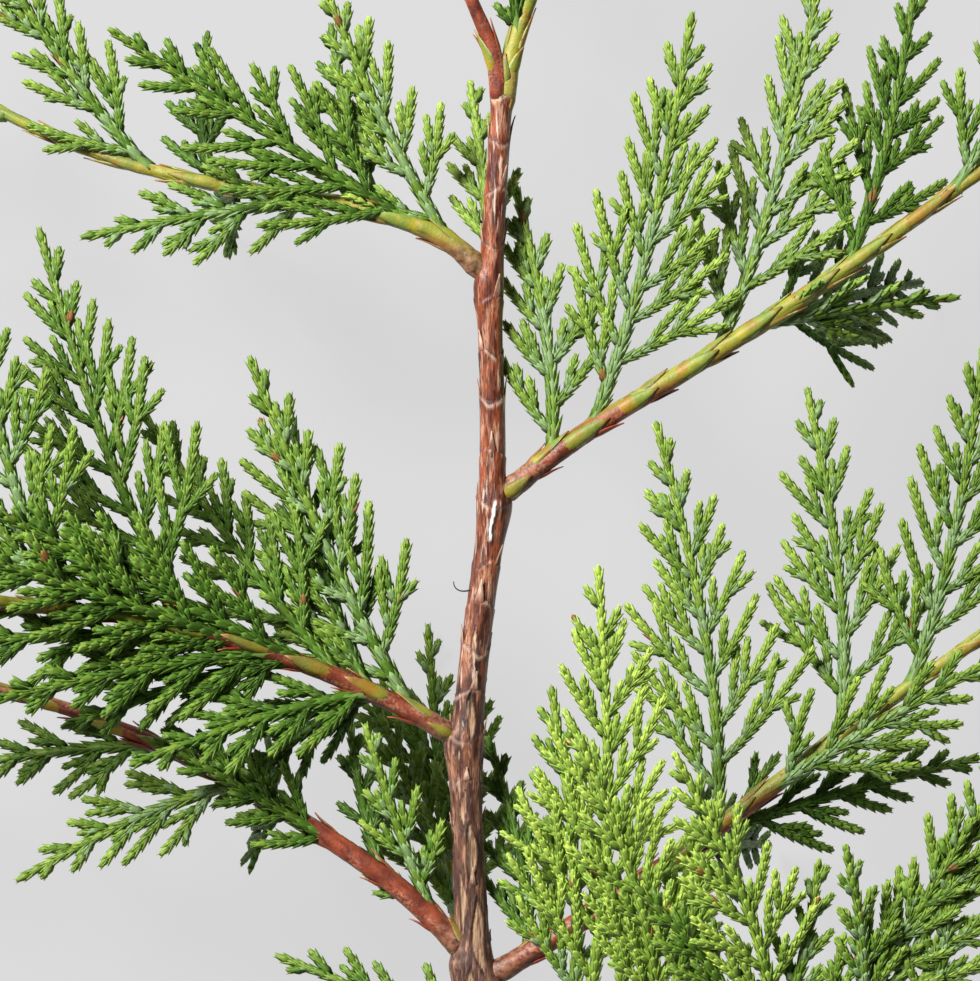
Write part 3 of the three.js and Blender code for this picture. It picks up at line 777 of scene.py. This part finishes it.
def grow_spray(stalk, seed, scale, foot):
    # Branchlets left and right of a stalk, each with a few smaller ones, most on the side towards its tip.
    shoots.append(Shoot(stalk, (1.95 * scale, 1.3 * scale), 0, seed, foot))
    length, pitch = stalk.length, PITCH * scale
    for k in range(int(length * (1 - BARE_FOOT - BARE_TIP) / pitch) + 1):
        share = BARE_FOOT + (k + 0.3 * float(jitter(seed + 60, k))) * pitch / length
        point, ahead, normal, side = stalk.at(share * length)
        hand = 1 if k % 2 else -1
        full = min(1, 0.8 + 1.4 * share) * max(1 - share, 0.0) ** 0.8
        reach = max(3.0, length * SPREAD * full * (1 + 0.16 * float(jitter(seed, k))))
        angle = np.radians(np.interp(share, [0, 1], [47, 30]) + 6 * float(jitter(seed, k + 50)))
        out = turned(ahead, normal, -hand * angle)
        twig = branchlet(point, out, ahead, normal, reach, 0.14 * float(jitter(seed + 30, k)))
        shoots.append(Shoot(twig, (1.48 * scale, 1.36 * scale), 1, seed))
        for j, (inner, place, part, least) in enumerate(SIDE_TWIGS):
            chance = jitter(seed + 90 + 7 * j, k + np.arange(4))
            small = reach * part * (1 + 0.35 * chance[0])
            if reach < least * scale * (1 + 0.5 * chance[1]):
                continue
            at, twig_ahead, twig_normal, _ = twig.at(reach * (place + 0.06 * chance[2]))
            fork = np.radians(31 + 6 * chance[3])
            out = turned(twig_ahead, twig_normal, inner * hand * fork)
            side_twig = branchlet(at, out, twig_ahead, twig_normal, small, 0.14 * chance[1])
            shoots.append(Shoot(side_twig, (1.34 * scale, 1.27 * scale), 2, seed))


limbs = [*BOUGHS, dict(line=stem_line, sprays=STEM_SPRAYS, length=STEM["length"])]
carried = [(limb, size) for limb in limbs for size in limb["sprays"]]
carried += [(bough, size) for bough in BOUGHS for size in outer_sprays(bough)]
for limb, size in carried:
    for fan in filter(None, (size, size["twin"])):
        tip = fan["at"] == END
        start, limb_ahead, _, _ = limb["line"].at(min(fan["at"], limb["length"]))
        sprays.append(fan)
        stalk = stalk_line(start, limb_ahead, 0.0 if tip else STALK_START, fan)
        grow_spray(stalk, len(sprays), fan["scale"], 0.1 if tip else 0.8)

twig_green, tree, shader, speckle, read = finish_of("green_twigs")
skin = speckle(2.5).blend(light_of(84, 122, 56), light_of(120, 146, 60))
wire(tree, shader, skin, 0.55, speckle(0.5, 2.0), 0.00005)
TWIG_SIDES = 4
shapes = []
for shoot in shoots:
    line = shoot.line
    thick = np.interp(line.share, [0, 0.9, 1], [shoot.sizes[0], shoot.sizes[1], 0.5]) * 0.36
    thick = thick * (1 + shoot.foot * np.exp(-line.share * line.length / 3.0))
    points, quads, ends = round_shape(line, np.repeat(thick[:, None], TWIG_SIDES, 1))
    ends = np.concatenate([ends, ends[:, -1:]], 1)
    shapes.append((points, np.concatenate([quads, ends]), {}))
points, faces, _ = joined(shapes)
triangles = faces[faces[:, 2] == faces[:, 3]][:, :3]
solids = [node for node in frame["nodes"] if node.startswith("spray_")]
quads = faces[faces[:, 2] != faces[:, 3]]
piece("spray_twigs", points, [quads, triangles], twig_green, solids)

# Scale leaves: two forms in turn up every shoot. Flat ones lie against its two faces, and keeled ones clasp
# its edges with their points standing off, so that a shoot looks braided and its edge is toothed.

# Rows up a leaf: their place along it, half their width, and how high its keel and its rims stand.
LEAF_FORMS = dict(
    leaf_form_1_face=[(0.0, 0.36, 0.2, -0.3), (0.45, 0.5, 0.46, -0.1), (0.8, 0.28, 0.56, 0.12), 0.5],
    leaf_form_2_edge=[(0.0, 0.44, 0.16, -0.5), (0.45, 0.5, 0.5, -0.3), (0.8, 0.26, 0.66, 0.16), 0.72],
)
forms = bpy.data.collections.new("leaf_forms")
for name, (*rows, tip_rise) in LEAF_FORMS.items():
    points = []
    for y, half, ridge, edge in rows:
        points += [(-half, y, edge), (0, y, ridge), (half, y, edge)]
    points.append((0, 1.0, tip_rise))
    faces = [(0, 1, 2)]
    for r in range(0, 3 * (len(rows) - 1), 3):
        faces += [(r, r + 3, r + 4, r + 1), (r + 1, r + 4, r + 5, r + 2), (r + 2, r + 5, r + 3, r)]
    r = 3 * (len(rows) - 1)
    faces += [(r, r + 3, r + 1), (r + 1, r + 3, r + 2), (r + 2, r + 3, r)]
    mesh = bpy.data.meshes.new(name)
    mesh.from_pydata(points, [], [f[::-1] for f in faces])
    mesh.attributes.new("up", "FLOAT", "POINT").data.foreach_set("value", [y for _, y, _ in points])
    rim = [1.0, 0.0, 1.0] * len(rows) + [1.0]
    mesh.attributes.new("rim", "FLOAT", "POINT").data.foreach_set("value", rim)
    mesh.shade_smooth()
    forms.objects.link(bpy.data.objects.new(name, mesh))

leaves_on_points = bpy.data.node_groups.new("leaves_on_points", "GeometryNodeTree")
growth = leaves_on_points.interface
growth.new_socket("Points", in_out="INPUT", socket_type="NodeSocketGeometry")
forms_input = growth.new_socket("Leaf forms", in_out="INPUT", socket_type="NodeSocketCollection")
finish_input = growth.new_socket("Finish", in_out="INPUT", socket_type="NodeSocketMaterial")
growth.new_socket("Leaves", in_out="OUTPUT", socket_type="NodeSocketGeometry")


def growth_node(kind, settings, sockets, out=0):
    return Mark.node(leaves_on_points, kind, settings, sockets, out)


def growth_mark(name, kind):
    settings, sockets = {"data_type": kind}, {"Name": name}
    return growth_node("GeometryNodeInputNamedAttribute", settings, sockets, "Attribute")


given = {name: growth_node("NodeGroupInput", {}, {}, name) for name in ("Points", "Leaf forms", "Finish")}
sockets = {"Collection": given["Leaf forms"], "Separate Children": True, "Reset Children": True}
leaf_shapes = growth_node("GeometryNodeCollectionInfo", {}, sockets)
sockets = {"Vector": growth_mark("out", "FLOAT_VECTOR")}
facing = growth_node("FunctionNodeAlignRotationToVector", {"axis": "Z"}, sockets)
sockets = {"Rotation": facing, "Vector": growth_mark("ahead", "FLOAT_VECTOR")}
facing = growth_node("FunctionNodeAlignRotationToVector", {"axis": "Y", "pivot_axis": "Z"}, sockets)
sockets = {
    "Points": given["Points"],
    "Instance": leaf_shapes,
    "Pick Instance": True,
    "Instance Index": growth_mark("form", "INT"),
    "Rotation": facing,
    "Scale": growth_mark("size", "FLOAT_VECTOR"),
}
grown = growth_node("GeometryNodeInstanceOnPoints", {}, sockets)
grown = growth_node("GeometryNodeRealizeInstances", {}, {"Geometry": grown})
grown = growth_node("GeometryNodeSetMaterial", {}, {"Geometry": grown, "Material": given["Finish"]})
leaves_on_points.links.new(grown.socket, leaves_on_points.nodes.new("NodeGroupOutput").inputs["Leaves"])

# Leaf colours in steps from dark to light. A leaf's step comes from its spray's tint, which holds painted
# shade and light, and from its place on its shoot, young leaves being paler.
LEAF_SHADES = [
    ("shaded", (63, 95, 25)),
    ("deep", (87, 125, 37)),
    ("green", (106, 140, 42)),
    ("fresh", (130, 161, 56)),
    ("light", (156, 186, 72)),
    ("young", (188, 214, 90)),
    ("bluish", (138, 168, 106)),
    ("dry", (150, 100, 56)),
]
BLUISH, DRY = 6, 7
SHADE_STEPS = [-0.62, -0.28, 0.06, 0.4, 0.74]
leaves = {key: [] for key in ("at", "ahead", "out", "size", "form", "shade")}
for number, shoot in enumerate(shoots):
    line = shoot.line
    fan = sprays[shoot.group - 1]
    pitch = WHORL * fan["scale"] * (1.0 if shoot.rank else 1.35)
    place = np.arange(0.3 + 0.6 * (shoot.rank == 0), line.length - 0.9, pitch)
    point, ahead, normal, side = line.at(place)
    share = place / line.length
    to_tip = line.length - place
    scale = np.interp(share, [0, 0.8, 1], [shoot.sizes[0], shoot.sizes[1], shoot.sizes[1]])
    k = np.arange(len(place))
    edge = (k % 2).astype(bool)
    bud = to_tip < 2.4
    young = share if shoot.rank else share * 0.8
    for hand in (1, -1):
        out = np.where(edge[:, None], side, normal) * hand
        spread = np.interp(to_tip, [1.0, 2.8], [-0.17, 0.04]) + 0.025 * jitter(number + 0.5 * hand, k)
        lean = unit(ahead + out * spread[:, None])
        off = np.where(edge, 0.26, 0.16) * np.interp(to_tip, [0.9, 2.4], [0.7, 1]) * scale
        leaves["at"].append(point + out * off[:, None])
        leaves["ahead"].append(lean)
        leaves["out"].append(unit(out - ahead * spread[:, None]))
        wide = np.where(edge, 0.8, 1.05) * np.where(bud, 0.9, 1) * scale
        long = np.where(edge, 1.82, 1.74) * (1 + 0.25 * (shoot.rank == 0)) * scale
        long = np.minimum(long, to_tip + 0.35)
        tall = np.where(edge, 0.42, 0.36) * np.where(bud, 0.75, 1) * scale
        leaves["size"].append(np.stack([wide, long, tall], -1))
        leaves["form"].append(edge.astype(int))
        # Painted shade and light: the spray's tint moves the leaf's step darker or lighter.
        value = fan["tint_and_painted_light"] * 0.9 + 0.75 * (young - 0.45) + 0.26 * jitter(number + 7.7 * hand, k)
        shade = np.digitize(value, SHADE_STEPS)
        inner = share < (0.2 if shoot.rank else 0.5)
        bluish = inner & (jitter(number, k) > -0.2) & (-0.08 < fan["tint_and_painted_light"] < 0.37)
        dry = jitter(number + 31 * hand, k + 400) > 0.994
        leaves["shade"].append(np.where(dry, DRY, np.where(bluish, BLUISH, shade)))
leaves = {key: np.concatenate(parts) for key, parts in leaves.items()}
leaves["at"], leaves["size"] = (leaves["at"] + cut_point) * 0.001, leaves["size"] * 0.001

MOST_LEAVES = 7000
for shade, (name, colour) in enumerate(LEAF_SHADES):
    finish, tree, shader, speckle, read = finish_of(f"leaf_{name}")
    soft = np.interp(colour[1], [130, 220], [0.5, 0.76])
    dim, deep, bright = (tuple(min(255, part * c) for c in colour) for part in (0.8, soft, 1.1))
    skin = speckle(1.2).blend(light_of(*colour), light_of(*dim))
    # Painted shade: the leaf is darker (deep) towards its foot, where the tip of the leaf before it lies
    # over it.
    skin = read("up").within(0.1, 0.5).blend(light_of(*deep), skin)
    skin = (read("rim").within(0.6, 1.0) * read("up").within(0.3, 0.6) * 0.5).blend(skin, light_of(*bright))
    wire(tree, shader, skin, 0.46 + 0.3 * read("up").within(0.5, 0.95))
    sheen = np.interp(colour[1], [125, 140], [0.25, 0.4])
    shader.inputs["Specular IOR Level"].default_value = float(sheen)
    picked = np.flatnonzero(leaves["shade"] == shade)
    for part, chosen in enumerate(np.array_split(picked, max(1, -(-len(picked) // MOST_LEAVES)))):
        mesh = bpy.data.meshes.new("leaf_points")
        mesh.from_pydata(leaves["at"][chosen], [], [])
        for key in ("ahead", "out", "size"):
            values = leaves[key][chosen].astype(np.float32).ravel()
            mesh.attributes.new(key, "FLOAT_VECTOR", "POINT").data.foreach_set("vector", values)
        values = leaves["form"][chosen].astype(np.int32)
        mesh.attributes.new("form", "INT", "POINT").data.foreach_set("value", values)
        made = bpy.data.objects.new(f"leaves_{name}_{part + 1}", mesh)
        bpy.context.scene.collection.objects.link(made)
        grower = made.modifiers.new("growth", "NODES")
        grower.node_group = leaves_on_points
        grower[forms_input.identifier] = forms
        grower[finish_input.identifier] = finish
        seen = made.evaluated_get(bpy.context.evaluated_depsgraph_get())
        made.data = bpy.data.meshes.new_from_object(seen)
        made.modifiers.clear()
        made.data.name = made.name
        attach(made, "root")
for form in list(forms.objects):
    bpy.data.objects.remove(form)
bpy.data.collections.remove(forms)

# Floor, light and camera: a plain pale floor under soft studio light from the upper left, seen from
# straight above, as the shoot was seen against its plain ground.

floor_mesh = bpy.data.meshes.new("floor")
floor_mesh.from_pydata([(-4, -4, 0), (4, -4, 0), (4, 4, 0), (-4, 4, 0)], [], [(0, 1, 2, 3)])
floor_finish, tree, shader, speckle, read = finish_of("pale_floor")
wire(tree, shader, speckle(300.0).blend(light_of(66, 66, 66), light_of(64, 64, 64)), 0.95)
shader.inputs["Specular IOR Level"].default_value = 0.1
shader.inputs["Emission Color"].default_value = (1.0, 1.0, 1.0, 1.0)
shader.inputs["Emission Strength"].default_value = 0.644
floor_mesh.materials.append(floor_finish)
floor = bpy.data.objects.new("floor", floor_mesh)
bpy.context.scene.collection.objects.link(floor)

world = bpy.data.worlds.new("soft_room")
world.use_nodes = True
world.node_tree.nodes["Background"].inputs["Color"].default_value = (0.94, 0.97, 1.0, 1.0)
world.node_tree.nodes["Background"].inputs["Strength"].default_value = 0.09
bpy.context.scene.world = world

VIEW_CENTRE = np.array([0.7, 89.5, 0.0])
VIEW_WIDTH, VIEW_DISTANCE = 147.0, 620.0
centre = (VIEW_CENTRE + cut_point) * 0.001

KEY_SIZE, KEY_ENERGY, KEY_PLACE = 0.28, 19.4, (-0.5, 0.5, 0.68)
key = bpy.data.lights.new("soft_window", "AREA")
key.shape, key.size, key.energy = "SQUARE", KEY_SIZE, KEY_ENERGY
key_object = bpy.data.objects.new("soft_window", key)
key_object.location = centre + np.array(KEY_PLACE)
key_object.rotation_euler = Vector(KEY_PLACE).to_track_quat("Z", "Y").to_euler()
bpy.context.scene.collection.objects.link(key_object)

camera = bpy.data.cameras.new("camera")
SENSOR = 36.0
camera.sensor_fit, camera.sensor_width = "HORIZONTAL", SENSOR
camera.lens = SENSOR * VIEW_DISTANCE / VIEW_WIDTH
camera_object = bpy.data.objects.new("camera", camera)
camera_object.location = centre + np.array([0, 0, VIEW_DISTANCE * 0.001])
bpy.context.scene.collection.objects.link(camera_object)
bpy.context.scene.camera = camera_object
bpy.context.scene.view_settings.view_transform = "Standard"
